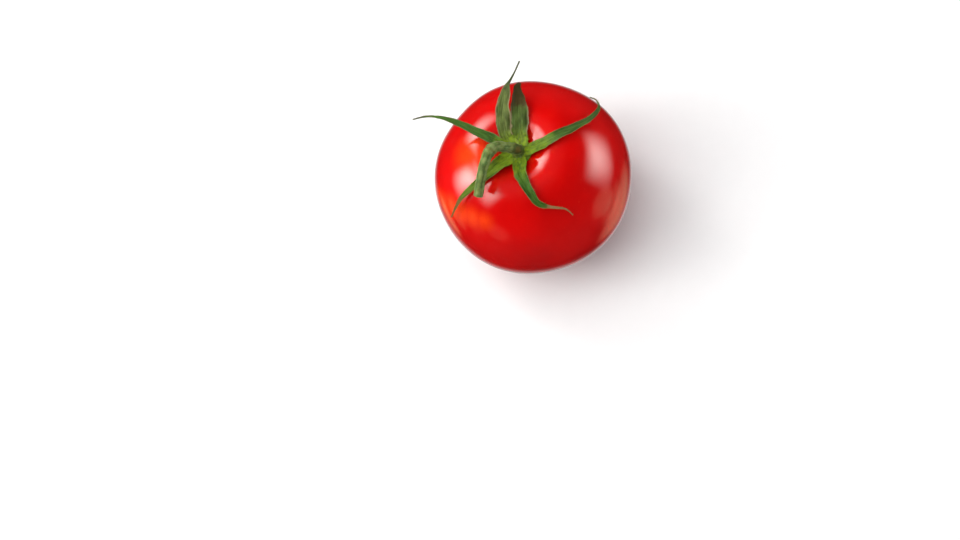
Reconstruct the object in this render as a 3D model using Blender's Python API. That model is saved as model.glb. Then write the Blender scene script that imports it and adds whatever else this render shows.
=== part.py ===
"""A ripe round tomato, picked with its calyx and a short arched stem, standing on its flat spot.

Metres, +Z up along the stem axis. The origin is the middle of the flat spot that the fruit rests
on, straight below the middle of the calyx. The fruit is one solid. The calyx is a small green disc
in the stem cavity with six sepals round it, and the stem rises from the disc.
"""

import math

import bmesh
import bpy
from mathutils import Matrix, Vector

MM = 0.001

# Fruit: a flattened round body, with a stem cavity on top and a small flat spot below.
FRUIT_DIAMETER = 67.0 * MM
CROWN_RISE = 34.0 * MM  # from the equator to the top, before the stem cavity is sunk into it
BASE_DROP = 30.0 * MM  # from the equator to the bottom, before the flat spot is trimmed off it
FLAT_TRIM = 0.7 * MM  # how much of the rounded bottom the flat spot takes away
CROWN_FULLNESS = 0.015  # how far the shoulder bulges past a plain ellipse, as a share
BASE_FULLNESS = 0.035
CAVITY_DEPTH = 7.5 * MM
CAVITY_RADIUS = 9.5 * MM  # where the cavity has lost about two thirds of its depth
LOBES = 5  # soft swellings round the shoulder
LOBE_RELIEF = 0.35 * MM
OVAL_RELIEF = 0.5 * MM  # how far the fruit is out of round, either way
OVAL_DIRECTION = math.radians(-20)  # the way in which it is widest

# Calyx disc: the small fleshy disc in the cavity that carries the sepals and the stem.
DISC_RADIUS = 4.4 * MM
DISC_THICKNESS = 2.1 * MM
DISC_RIM_THICKNESS = 0.8 * MM

# Sepals: narrow leaves, folded a little along the midrib, that run out to a thread.
SEPAL_THICKNESS = 0.6 * MM
SEPAL_EDGE_THICKNESS = 0.35 * MM
SEPAL_FOLD = math.radians(17.0)  # how far each half blade rises from the midrib
SEPAL_TIP_SHARE = 0.13  # tip width as a share of the full width
SEPAL_WAIST_SHARE = 0.6  # width where the blade meets the disc, as a share of the full width
SEPAL_WAIST_LENGTH = 3.5 * MM  # how far from the disc the blade is still narrowed
SEPAL_TIP_THINNING = 0.3  # how much thinner the blade is at the tip, as a share
SEPAL_STEPS = 26

# Each sepal has its colour, its full width, the angle that its blade has turned over by at the
# tip, the direction in which it leaves the disc, and its route. A route station is the distance
# from the stem axis along the skin, the direction round the axis, and how far the midrib is from
# the skin, in millimetres and degrees. A blade lies on the skin at RESTING.
RESTING = 0.95
SEPALS = {
    "sepal_front": {
        "colour": (0.12, 0.25, 0.05),
        "width": 4.4 * MM,
        "turn": -35,
        "root": -114,
        "route": (
            (9.5, -117, 1.0),
            (13.5, -112, 1.1),
            (17.5, -108, 1.4),
            (21.5, -104, 1.5),
            (24.5, -95, 1.4),
            (27.5, -87, 1.3),
            (31.0, -85, 1.5),
        ),
    },
    "sepal_right": {
        "colour": (0.10, 0.22, 0.06),
        "width": 3.8 * MM,
        "turn": 25,
        "root": -30,
        "route": (
            (11.0, -24, 1.4),
            (16.0, -19, 1.9),
            (22.0, -14, 2.4),
            (28.0, -9, 2.8),
            (33.0, -3, 3.1),
            (34.0, 2, 3.8),
            (31.0, 4, 4.6),
        ),
    },
    "sepal_rear_right": {
        "colour": (0.11, 0.20, 0.06),
        "width": 5.8 * MM,
        "turn": 30,
        "root": 48,
        "route": (
            (8.0, 49, RESTING),
            (13.0, 50, 1.5),
            (18.0, 53, 2.7),
            (21.5, 55, 4.0),
            (23.0, 53, 4.8),
        ),
    },
    "sepal_rear": {
        "colour": (0.15, 0.22, 0.09),
        "width": 4.3 * MM,
        "turn": -20,
        "root": 92,
        "route": (
            (8.0, 90, RESTING),
            (11.5, 80, 1.3),
            (15.5, 71, 2.8),
            (19.5, 63, 6.2),
            (21.2, 56, 10.0),
            (22.5, 51, 14.0),
        ),
    },
    "sepal_rear_left": {
        "colour": (0.09, 0.19, 0.05),
        "width": 3.5 * MM,
        "turn": 40,
        "root": 128,
        "route": (
            (9.0, 121, 1.2),
            (11.5, 120, 2.0),
            (15.0, 122, 4.2),
            (19.5, 122, 9.0),
            (23.5, 125, 14.0),
            (27.0, 129, 17.0),
        ),
    },
    "sepal_left": {
        "colour": (0.16, 0.28, 0.04),
        "width": 4.4 * MM,
        "turn": -30,
        "root": 181,
        "route": (
            (11.5, 186, 1.2),
            (18.0, 185, 1.8),
            (24.5, 182, 2.1),
            (30.0, 182, 2.1),
            (35.5, 182, 2.0),
        ),
    },
}

# Stem: it rises from the disc, arches over to the left and ends in a clean cut. A route station is
# the distance from the stem axis along the skin, the direction, and the height above the skin.
STEM_ROUTE = (
    (0.6, 270, 6.2),
    (2.4, 168, 9.2),
    (5.7, 161, 10.9),
    (9.1, 173, 11.2),
    (13.4, 186, 9.2),
    (17.8, 194, 7.4),
    (22.2, 198, 6.0),
)
STEM_RADIUS = 1.75 * MM
STEM_FOOT_RADIUS = 2.3 * MM
STEM_FOOT_LENGTH = 2.4 * MM  # the flare's length, half of it straight up
KNUCKLE_RADIUS = 2.05 * MM  # the swelling where the stem would break off by itself
KNUCKLE_PLACE = 0.5  # along the stem, as a share of its length
KNUCKLE_LENGTH = 4.0 * MM
STEM_END_RADIUS = 1.6 * MM
STEM_STEPS = 32

SEAT_GAP = 0.3 * MM  # between pieces that touch each other

RING_SIDES = 48  # round the fruit
FRUIT_RINGS = 32
RING_CROWDING = 1.35  # above 1, the rings lie closer together in the cavity, which curves the most
DISC_SIDES = 24
STEM_SIDES = 12

EQUATOR_HEIGHT = BASE_DROP - FLAT_TRIM
PROFILE_STEPS = 400


# ---- The fruit's skin, which everything else sits on ----


def skin_point(polar, azimuth):
    """The skin at an angle from the stem axis, 0 at the top, and a direction round the axis."""
    crown_share = (1 + math.cos(polar)) / 2
    half_height = BASE_DROP + (CROWN_RISE - BASE_DROP) * crown_share
    fullness = BASE_FULLNESS + (CROWN_FULLNESS - BASE_FULLNESS) * crown_share
    reach = 1 / math.hypot(math.sin(polar) / (FRUIT_DIAMETER / 2), math.cos(polar) / half_height)
    reach *= 1 + fullness * math.sin(2 * polar) ** 2
    relief = LOBE_RELIEF * crown_share * math.cos(LOBES * azimuth)
    relief += OVAL_RELIEF * math.cos(2 * (azimuth - OVAL_DIRECTION))
    radius = reach * math.sin(polar) * (1 + relief / (FRUIT_DIAMETER / 2))
    height = EQUATOR_HEIGHT + reach * math.cos(polar)
    if polar < math.pi / 2:
        height -= CAVITY_DEPTH * math.exp(-((radius / CAVITY_RADIUS) ** 2))
    return Vector((radius * math.cos(azimuth), radius * math.sin(azimuth), height))


def skin_normal(polar, azimuth):
    """The skin's outward direction there."""
    step = 1e-3
    down = skin_point(polar + step, azimuth) - skin_point(polar - step, azimuth)
    round_axis = skin_point(polar, azimuth + step) - skin_point(polar, azimuth - step)
    return down.cross(round_axis).normalized()


def flat_spot_polar():
    """The angle from the stem axis at which the skin comes down to the flat spot."""
    low, high = math.pi / 2, math.pi
    for _ in range(60):
        middle = (low + high) / 2
        if skin_point(middle, 0).z > 0:
            low = middle
        else:
            high = middle
    return low


def meridian_lengths():
    """(distance along the skin from the stem axis, angle from the axis), from the top downwards."""
    table = [(0.0, 0.0)]
    last = skin_point(0, 0)
    for step in range(1, PROFILE_STEPS + 1):
        polar = math.pi * step / PROFILE_STEPS
        point = skin_point(polar, 0)
        table.append((table[-1][0] + (point - last).length, polar))
        last = point
    return table


MERIDIAN = meridian_lengths()


def polar_at(distance):
    """The angle from the stem axis at a distance along the skin from it."""
    for (near, low), (far, high) in zip(MERIDIAN, MERIDIAN[1:]):
        if distance <= far:
            return low + (high - low) * (distance - near) / (far - near)
    return math.pi


def over_skin(distance, azimuth, lift):
    """(point, outward direction) that far over the skin, straight out from it."""
    polar = polar_at(distance)
    outward = skin_normal(polar, azimuth)
    return skin_point(polar, azimuth) + outward * lift, outward


def above_skin(distance, azimuth, height):
    """The point that far straight above the skin."""
    return skin_point(polar_at(distance), azimuth) + Vector((0, 0, height))


# ---- Shapes ----


def along(stations, share):
    """A point of the smooth curve through the stations, at a share of the way from first to last."""
    place = share * (len(stations) - 1)
    index = min(int(place), len(stations) - 2)
    t = place - index
    before = stations[max(index - 1, 0)]
    start, end = stations[index], stations[index + 1]
    after = stations[min(index + 2, len(stations) - 1)]
    return tuple(
        b + 0.5 * t * (c - a + t * (2 * a - 5 * b + 4 * c - d + t * (3 * (b - c) + d - a)))
        for a, b, c, d in zip(before, start, end, after)
    )


def directions(points):
    """The direction of travel at each point of a line."""
    last = len(points) - 1
    return [(points[min(i + 1, last)] - points[max(i - 1, 0)]).normalized() for i in range(last + 1)]


def bridge(bm, near, far):
    """Faces between two rings. A ring of one point is a pole that the other ring closes on."""
    sides = max(len(near), len(far))
    for i in range(sides):
        j = (i + 1) % sides
        corners = (near[i % len(near)], near[j % len(near)], far[j % len(far)], far[i % len(far)])
        bm.faces.new(list(dict.fromkeys(corners)))


def solid(name, rings, material, origin):
    """One closed object from rings of points in order along it. An end ring is closed by a face."""
    bm = bmesh.new()
    loops = [[bm.verts.new(point - origin) for point in ring] for ring in rings]
    for near, far in zip(loops, loops[1:]):
        bridge(bm, near, far)
    for end in (loops[0], loops[-1]):
        if len(end) > 1:
            bm.faces.new(end)
    bmesh.ops.recalc_face_normals(bm, faces=bm.faces)
    mesh = bpy.data.meshes.new(name)
    bm.to_mesh(mesh)
    bm.free()
    mesh.materials.append(material)
    mesh.shade_smooth()
    mesh.set_sharp_from_angle(angle=math.radians(40))
    piece = bpy.data.objects.new(name, mesh)
    piece.location = origin
    bpy.context.scene.collection.objects.link(piece)
    return piece


def make_material(name, colour, roughness):
    material = bpy.data.materials.new(name)
    material.use_nodes = True
    shader = material.node_tree.nodes["Principled BSDF"]
    shader.inputs["Base Color"].default_value = (*colour, 1)
    shader.inputs["Roughness"].default_value = roughness
    shader.inputs["Metallic"].default_value = 0.0
    return material


# ---- The pieces ----


def make_fruit(material):
    """Rings from the cavity floor down to the flat spot, which is a flat fan round the origin."""
    bottom = flat_spot_polar()
    rings = [[skin_point(0, 0)]]
    for step in range(1, FRUIT_RINGS + 1):
        polar = bottom * (step / FRUIT_RINGS) ** RING_CROWDING
        ring = [skin_point(polar, math.tau * side / RING_SIDES) for side in range(RING_SIDES)]
        if step == FRUIT_RINGS:
            for point in ring:
                point.z = 0.0
        rings.append(ring)
    rings.append([Vector((0, 0, 0))])
    return solid("fruit", rings, material, Vector((0, 0, 0)))


def disc_thickness(share):
    """Thickness of the calyx disc at a share of its radius."""
    return DISC_THICKNESS + (DISC_RIM_THICKNESS - DISC_THICKNESS) * share**2


def make_disc(material):
    """A lens that lies in the cavity, its underside following the skin."""
    shares = (0.25, 0.5, 0.75, 0.92, 1.0)

    def ring(share, top):
        lift = SEAT_GAP + (disc_thickness(share) if top else 0)
        sides = (math.tau * side / DISC_SIDES for side in range(DISC_SIDES))
        return [above_skin(share * DISC_RADIUS, azimuth, lift) for azimuth in sides]

    under = [[above_skin(0, 0, SEAT_GAP)]] + [ring(share, False) for share in shares]
    over = [ring(share, True) for share in reversed(shares)]
    top = [[above_skin(0, 0, SEAT_GAP + DISC_THICKNESS)]]
    return solid("calyx_disc", under + over + top, material, under[0][0])


def sepal_width(full_width, share, distance):
    """Width at a share of the length, which is that distance along the sepal from the disc."""
    taper = (1 - share) ** 1.5 * (1 + 1.6 * share)
    width = full_width * (SEPAL_TIP_SHARE + (1 - SEPAL_TIP_SHARE) * taper)
    waist = (1 - SEPAL_WAIST_SHARE) * math.exp(-((distance / SEPAL_WAIST_LENGTH) ** 2))
    return width * (1 - waist)


def sepal_section(width, thickness_share):
    """(sideways, upwards) points round a blade that is folded along its midrib."""
    across = (-1.0, -0.5, 0.0, 0.5, 1.0)
    top, under = [], []
    for place in across:
        rise = abs(place) * width / 2 * math.tan(SEPAL_FOLD)
        thickness = SEPAL_THICKNESS + (SEPAL_EDGE_THICKNESS - SEPAL_THICKNESS) * abs(place)
        thickness *= thickness_share
        top.append((place * width / 2, rise + thickness / 2))
        under.append((place * width / 2, rise - thickness / 2))
    return top + under[::-1]


def root_distance(full_width):
    """Where a blade starts, clear of the disc though its upper edges lean back over the rim."""
    edge_rise = full_width * SEPAL_WAIST_SHARE / 2 * math.tan(SEPAL_FOLD)
    blade_top = RESTING * MM + edge_rise + SEPAL_THICKNESS / 2
    lean = over_skin(DISC_RADIUS, 0, 0)[1].xy.length
    return DISC_RADIUS + SEAT_GAP + blade_top * lean


def make_sepal(name, material):
    """A folded blade swept along its route, its root end square to the disc's rim."""
    sepal = SEPALS[name]
    root = root_distance(sepal["width"])
    stations = ((root / MM, sepal["root"], RESTING), *sepal["route"])
    points, outwards = [], []
    for step in range(SEPAL_STEPS + 1):
        distance, azimuth, lift = along(stations, step / SEPAL_STEPS)
        point, outward = over_skin(distance * MM, math.radians(azimuth), lift * MM)
        points.append(point)
        outwards.append(outward)
    forwards = directions(points)
    away = Vector((*points[0].xy, 0)).normalized()
    forwards[0] = (away - outwards[0] * away.dot(outwards[0])).normalized()
    rings, travelled = [], 0.0
    for step, forward in enumerate(forwards):
        share = step / SEPAL_STEPS
        travelled += (points[step] - points[max(step - 1, 0)]).length
        up = (outwards[step] - forward * outwards[step].dot(forward)).normalized()
        up = Matrix.Rotation(math.radians(sepal["turn"]) * share**2, 3, forward) @ up
        side = forward.cross(up)
        width = sepal_width(sepal["width"], share, travelled)
        section = sepal_section(width, 1 - SEPAL_TIP_THINNING * share)
        rings.append([points[step] + side * across + up * rise for across, rise in section])
    return solid(name, rings, material, points[0])


def stem_radius(share, length):
    """Radius at a share of the stem's length: a flared foot, a knuckle, and a slightly thinner end."""
    radius = STEM_RADIUS + (STEM_END_RADIUS - STEM_RADIUS) * share
    foot = math.exp(-((share * length / STEM_FOOT_LENGTH) ** 2))
    knuckle = math.exp(-(((share - KNUCKLE_PLACE) * length / (KNUCKLE_LENGTH / 2)) ** 2))
    return radius + (STEM_FOOT_RADIUS - STEM_RADIUS) * foot + (KNUCKLE_RADIUS - STEM_RADIUS) * knuckle


def stem_foot():
    """The middle of the stem's flat lower end, a gap above the highest part of the disc under it."""
    shares = (0, STEM_FOOT_RADIUS / DISC_RADIUS)
    tops = (above_skin(share * DISC_RADIUS, 0, SEAT_GAP + disc_thickness(share)).z for share in shares)
    return Vector((0, 0, max(tops) + SEAT_GAP))


def make_stem(material):
    """A round stalk swept along its route from the top of the disc to its cut end."""
    foot = stem_foot()
    route = [foot, foot + Vector((0, 0, STEM_FOOT_LENGTH / 2))]
    route += [above_skin(d * MM, math.radians(a), h * MM) for d, a, h in STEM_ROUTE]
    points = [Vector(along(route, step / STEM_STEPS)) for step in range(STEM_STEPS + 1)]
    lengths = [0.0]
    for near, far in zip(points, points[1:]):
        lengths.append(lengths[-1] + (far - near).length)
    forwards = directions(points)
    forwards[0] = Vector((0, 0, 1))
    side = Vector((1, 0, 0))
    rings = []
    for point, forward, travelled in zip(points, forwards, lengths):
        side = (side - forward * side.dot(forward)).normalized()
        up = forward.cross(side)
        radius = stem_radius(travelled / lengths[-1], lengths[-1])
        angles = (math.tau * i / STEM_SIDES for i in range(STEM_SIDES))
        rings.append([point + (side * math.cos(a) + up * math.sin(a)) * radius for a in angles])
    return solid("stem", rings, material, foot)


def main():
    for old in list(bpy.data.objects):
        bpy.data.objects.remove(old)
    make_fruit(make_material("tomato_skin", (0.62, 0.01, 0.005), 0.28))
    calyx = bpy.data.objects.new("calyx", None)
    calyx.location = above_skin(0, 0, SEAT_GAP)
    bpy.context.scene.collection.objects.link(calyx)
    pieces = [make_disc(make_material("calyx_disc", (0.20, 0.32, 0.05), 0.6))]
    for name, sepal in SEPALS.items():
        pieces.append(make_sepal(name, make_material(name, sepal["colour"], 0.6)))
    pieces.append(make_stem(make_material("stem", (0.12, 0.22, 0.05), 0.55)))
    for piece in pieces:
        piece.parent = calyx
        piece.location -= calyx.location


main()
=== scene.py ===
"""The looks of a ripe tomato: its skin, the green calyx with six sepals, and the arched stem.

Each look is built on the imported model's own shapes. The design tables are in millimetres, and MM,
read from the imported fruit's height, turns them into the frame's metres.
"""

import math
import random

import bpy
from mathutils import Matrix, Vector, noise


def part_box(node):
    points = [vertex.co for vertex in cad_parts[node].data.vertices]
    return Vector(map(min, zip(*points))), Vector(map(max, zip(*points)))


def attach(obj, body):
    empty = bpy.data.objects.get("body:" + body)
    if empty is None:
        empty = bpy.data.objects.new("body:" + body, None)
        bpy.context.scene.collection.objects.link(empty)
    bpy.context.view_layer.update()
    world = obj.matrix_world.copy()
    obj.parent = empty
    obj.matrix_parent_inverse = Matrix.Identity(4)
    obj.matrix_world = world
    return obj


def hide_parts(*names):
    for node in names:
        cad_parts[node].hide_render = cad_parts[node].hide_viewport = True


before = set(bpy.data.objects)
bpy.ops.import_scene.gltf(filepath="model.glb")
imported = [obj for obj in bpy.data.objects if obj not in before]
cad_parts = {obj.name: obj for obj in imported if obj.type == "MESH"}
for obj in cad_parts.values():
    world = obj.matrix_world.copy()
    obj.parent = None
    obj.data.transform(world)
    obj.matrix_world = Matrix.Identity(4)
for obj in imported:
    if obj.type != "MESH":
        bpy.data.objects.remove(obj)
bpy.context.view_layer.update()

fruit_low, fruit_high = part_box("fruit")

# ---- The design, in millimetres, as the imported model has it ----

FRUIT_HEIGHT = 59.8
MM = (fruit_high.z - fruit_low.z) / FRUIT_HEIGHT

FRUIT_DIAMETER = 67.0
CROWN_RISE = 34.0
BASE_DROP = 30.0
EQUATOR_HEIGHT = 29.3
CROWN_FULLNESS = 0.015
BASE_FULLNESS = 0.035
CAVITY_DEPTH = 7.5
CAVITY_RADIUS = 9.5
LOBES = 5
LOBE_RELIEF = 0.35
OVAL_RELIEF = 0.5
OVAL_DIRECTION = math.radians(-20)

DISC_THICKNESS = 2.1
SEPAL_FOLD = math.radians(17)
SEPAL_TIP_SHARE = 0.13
SEPAL_WAIST_SHARE = 0.6
RESTING = 0.95
SEAT_GAP = 0.3

# Routes: (distance from the stem axis along the skin, direction round the axis, lift off the skin).
SEPALS = {
    "sepal_front": {
        "width": 4.4,
        "turn": -35,
        "root": -114,
        "route": (
            (9.5, -117, 1.0),
            (13.5, -112, 1.1),
            (17.5, -108, 1.4),
            (21.5, -104, 1.5),
            (24.5, -95, 1.4),
            (27.5, -87, 1.3),
            (31.0, -85, 1.5),
        ),
        "slim": 0.15,
        "blade": (0.034, 0.098, 0.008),
        "tip": (0.30, 0.17, 0.08),
        "tip_start": 0.60,
        "margin": 0.5,
        "thread": 0.62,
    },
    "sepal_right": {
        "width": 3.8,
        "turn": 25,
        "root": -30,
        "route": (
            (11.0, -24, 1.4),
            (16.0, -19, 1.9),
            (22.0, -14, 2.4),
            (28.0, -9, 2.8),
            (33.0, -3, 3.1),
            (34.0, 2, 3.8),
            (31.0, 4, 4.6),
        ),
        "slim": 0.20,
        "blade": (0.052, 0.112, 0.018),
        "tip": (0.20, 0.17, 0.09),
        "tip_start": 0.74,
        "margin": 0.45,
        "thread": 0.86,
    },
    "sepal_rear_right": {
        "width": 5.8,
        "turn": 30,
        "root": 48,
        "route": (
            (8.0, 49, RESTING),
            (13.0, 50, 1.5),
            (18.0, 53, 2.7),
            (21.5, 55, 4.0),
            (23.0, 53, 4.8),
        ),
        "slim": -0.38,
        "blade": (0.050, 0.088, 0.014),
        "tip": (0.050, 0.027, 0.008),
        "tip_start": 0.42,
        "margin": 0.9,
        "thread": 1.0,
    },
    "sepal_rear": {
        "width": 4.3,
        "turn": -20,
        "root": 92,
        "route": (
            (8.0, 90, RESTING),
            (11.5, 80, 1.3),
            (15.5, 71, 2.8),
            (19.5, 63, 6.2),
            (21.2, 56, 10.0),
            (22.5, 51, 14.0),
        ),
        "slim": -0.58,
        "blade": (0.078, 0.110, 0.024),
        "tip": (0.030, 0.045, 0.016),
        "tip_start": 0.62,
        "margin": 0.9,
        "thread": 0.68,
    },
    "sepal_rear_left": {
        "width": 3.5,
        "turn": 40,
        "root": 128,
        "route": (
            (9.0, 121, 1.2),
            (11.5, 120, 2.0),
            (15.0, 122, 4.2),
            (19.5, 122, 9.0),
            (23.5, 125, 14.0),
            (27.0, 129, 17.0),
        ),
        "slim": -0.30,
        "blade": (0.048, 0.118, 0.016),
        "tip": (0.055, 0.070, 0.028),
        "tip_start": 0.80,
        "margin": 0.45,
        "thread": 1.0,
    },
    "sepal_left": {
        "width": 4.4,
        "turn": -30,
        "root": 181,
        "route": (
            (11.5, 186, 1.2),
            (18.0, 185, 1.8),
            (24.5, 182, 2.1),
            (30.0, 182, 2.1),
            (35.5, 182, 2.0),
        ),
        "slim": 0.35,
        "blade": (0.080, 0.145, 0.008),
        "tip": (0.16, 0.10, 0.03),
        "tip_start": 0.60,
        "margin": 0.35,
        "thread": 1.0,
    },
}
FRESH_GREEN = (0.210, 0.320, 0.010)  # the yellow-green of the disc and of each sepal's base
TAN = (0.25, 0.19, 0.11)  # dried margins

STEM_ROUTE = (
    (0.6, 270, 6.2),
    (2.4, 168, 9.2),
    (5.7, 161, 10.9),
    (9.1, 173, 11.2),
    (13.4, 186, 9.2),
    (17.8, 194, 7.4),
    (22.2, 198, 6.0),
)
STEM_RADIUS = 1.75
STEM_FOOT_RADIUS = 2.3
STEM_FOOT_LENGTH = 2.4
KNUCKLE_RADIUS = 2.05
KNUCKLE_PLACE = 0.5
KNUCKLE_LENGTH = 4.0
STEM_END_RADIUS = 1.6

PROFILE_STEPS = 400


# ---- The fruit's skin ----


def skin_point(polar, azimuth):
    """The skin at an angle from the stem axis, 0 at the top, and a direction round the axis."""
    crown_share = (1 + math.cos(polar)) / 2
    half_height = BASE_DROP + (CROWN_RISE - BASE_DROP) * crown_share
    fullness = BASE_FULLNESS + (CROWN_FULLNESS - BASE_FULLNESS) * crown_share
    reach = 1 / math.hypot(math.sin(polar) / (FRUIT_DIAMETER / 2), math.cos(polar) / half_height)
    reach *= 1 + fullness * math.sin(2 * polar) ** 2
    relief = LOBE_RELIEF * crown_share * math.cos(LOBES * azimuth)
    relief += OVAL_RELIEF * math.cos(2 * (azimuth - OVAL_DIRECTION))
    radius = reach * math.sin(polar) * (1 + relief / (FRUIT_DIAMETER / 2))
    height = EQUATOR_HEIGHT + reach * math.cos(polar)
    if polar < math.pi / 2:
        height -= CAVITY_DEPTH * math.exp(-((radius / CAVITY_RADIUS) ** 2))
    return Vector((radius * math.cos(azimuth), radius * math.sin(azimuth), height))


def skin_normal(polar, azimuth):
    step = 1e-3
    down = skin_point(polar + step, azimuth) - skin_point(polar - step, azimuth)
    round_axis = skin_point(polar, azimuth + step) - skin_point(polar, azimuth - step)
    return down.cross(round_axis).normalized()


def meridian_lengths():
    """(distance along the skin from the stem axis, angle from the axis), from the top downwards."""
    table = [(0.0, 0.0)]
    last = skin_point(0, 0)
    for step in range(1, PROFILE_STEPS + 1):
        polar = math.pi * step / PROFILE_STEPS
        point = skin_point(polar, 0)
        table.append((table[-1][0] + (point - last).length, polar))
        last = point
    return table


MERIDIAN = meridian_lengths()


def polar_at(distance):
    for (near, low), (far, high) in zip(MERIDIAN, MERIDIAN[1:]):
        if distance <= far:
            return low + (high - low) * (distance - near) / (far - near)
    return math.pi


def over_skin(distance, azimuth, lift):
    """(point, outward direction) that far over the skin, straight out from it."""
    polar = polar_at(distance)
    outward = skin_normal(polar, azimuth)
    return skin_point(polar, azimuth) + outward * lift, outward


def above_skin(distance, azimuth, height):
    return skin_point(polar_at(distance), azimuth) + Vector((0, 0, height))


# ---- Shapes ----

SHARP_ANGLE = math.radians(50)
HAIR_SIDES = 3


def smooth(low, high, value):
    """0 below low, 1 above high, with a soft change between them."""
    t = min(max((value - low) / (high - low), 0.0), 1.0)
    return t * t * (3 - 2 * t)


def toward(azimuth, elevation):
    a, e = math.radians(azimuth), math.radians(elevation)
    return Vector((math.cos(a) * math.cos(e), math.sin(a) * math.cos(e), math.sin(e)))


def bump(value, middle, half_width):
    """A soft hump of height 1."""
    return math.exp(-(((value - middle) / half_width) ** 2))


def ripple(place, wavelength, seed):
    """Smooth noise of about -0.5 to 0.5 at a place in millimetres."""
    return noise.noise(Vector(place) / wavelength + Vector((seed * 7.3, seed * 3.1, seed * 5.7)))


def along(stations, place):
    """A point of the smooth curve through the stations, place counted in stations."""
    index = min(max(int(math.floor(place)), 0), len(stations) - 2)
    t = place - index
    before = stations[max(index - 1, 0)]
    start, end = stations[index], stations[index + 1]
    after = stations[min(index + 2, len(stations) - 1)]
    return tuple(
        b + 0.5 * t * (c - a + t * (2 * a - 5 * b + 4 * c - d + t * (3 * (b - c) + d - a)))
        for a, b, c, d in zip(before, start, end, after)
    )


def directions(points):
    last = len(points) - 1
    return [(points[min(i + 1, last)] - points[max(i - 1, 0)]).normalized() for i in range(last + 1)]


class Shape:
    """Points in millimetres with named values, and the faces between them."""

    def __init__(self, *values):
        self.points = []
        self.faces = []
        self.values = {name: [] for name in values}

    def add(self, point, **values):
        self.points.append(point)
        for name, stored in self.values.items():
            stored.append(values.get(name, 0.0))
        return len(self.points) - 1

    def join(self, near, far):
        """Faces between two rings of indices. A ring of one index is a pole."""
        sides = max(len(near), len(far))
        for i in range(sides):
            j = (i + 1) % sides
            corners = (near[i % len(near)], near[j % len(near)], far[j % len(far)], far[i % len(far)])
            self.faces.append(tuple(dict.fromkeys(corners)))

    def loft(self, rings):
        for near, far in zip(rings, rings[1:]):
            self.join(near, far)

    def hair(self, root, direction, length, radius, **values):
        """A small closed spike, sunk a little into what it grows on."""
        side = direction.orthogonal().normalized()
        up = direction.cross(side)
        foot = root - direction * radius * 2
        ring = []
        for corner in range(HAIR_SIDES):
            angle = math.tau * corner / HAIR_SIDES
            offset = side * math.cos(angle) + up * math.sin(angle)
            ring.append(self.add(foot + offset * radius, **values))
        tip = self.add(root + direction * length, **values)
        self.join(ring, [tip])
        self.faces.append(tuple(reversed(ring)))

    def piece(self, name, material):
        mesh = bpy.data.meshes.new(name)
        mesh.from_pydata([point * MM for point in self.points], [], self.faces)
        for value, stored in self.values.items():
            mesh.attributes.new(value, "FLOAT", "POINT").data.foreach_set("value", stored)
        mesh.validate()
        mesh.shade_smooth()
        mesh.set_sharp_from_angle(angle=SHARP_ANGLE)
        mesh.materials.append(material)
        made = bpy.data.objects.new(name, mesh)
        bpy.context.scene.collection.objects.link(made)
        return made


def stand_for(piece, node):
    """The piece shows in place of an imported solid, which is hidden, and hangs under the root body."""
    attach(piece, "root")
    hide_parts(node)


# ---- Material nodes ----

# Places of the colour sockets on a Mix node, which has sockets of the same name for other types.
MIX_FIRST_COLOUR = 6
MIX_SECOND_COLOUR = 7
MIX_RESULT_COLOUR = 2


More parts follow.
